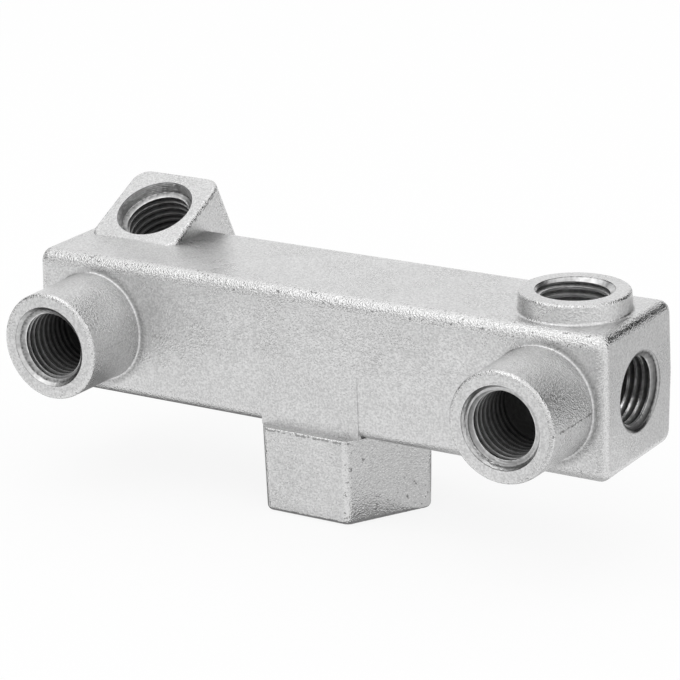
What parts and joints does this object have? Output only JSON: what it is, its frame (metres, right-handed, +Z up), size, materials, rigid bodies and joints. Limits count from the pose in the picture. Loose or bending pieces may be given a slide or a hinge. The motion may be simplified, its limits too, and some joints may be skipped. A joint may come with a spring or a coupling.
{
  "type": "air manifold block",
  "caption": "Cast aluminium air manifold block: square bar with round, square and hexagonal bosses carrying threaded ports on several sides.",
  "frame": {"origin": "centre of the hexagonal inlet boss's foot, where the inlet port opens", "axes": "+X along the bar towards its open end, the two front ports face -Y, +Z up away from the inlet port"},
  "size_m": [0.1124, 0.0504, 0.0481],
  "materials": {
    "cast_aluminium": "fine shot-blasted casting, satin"
  },
  "bodies": {
    "root": {"manifold_body": "cast_aluminium"}
  },
  "joints": []
}
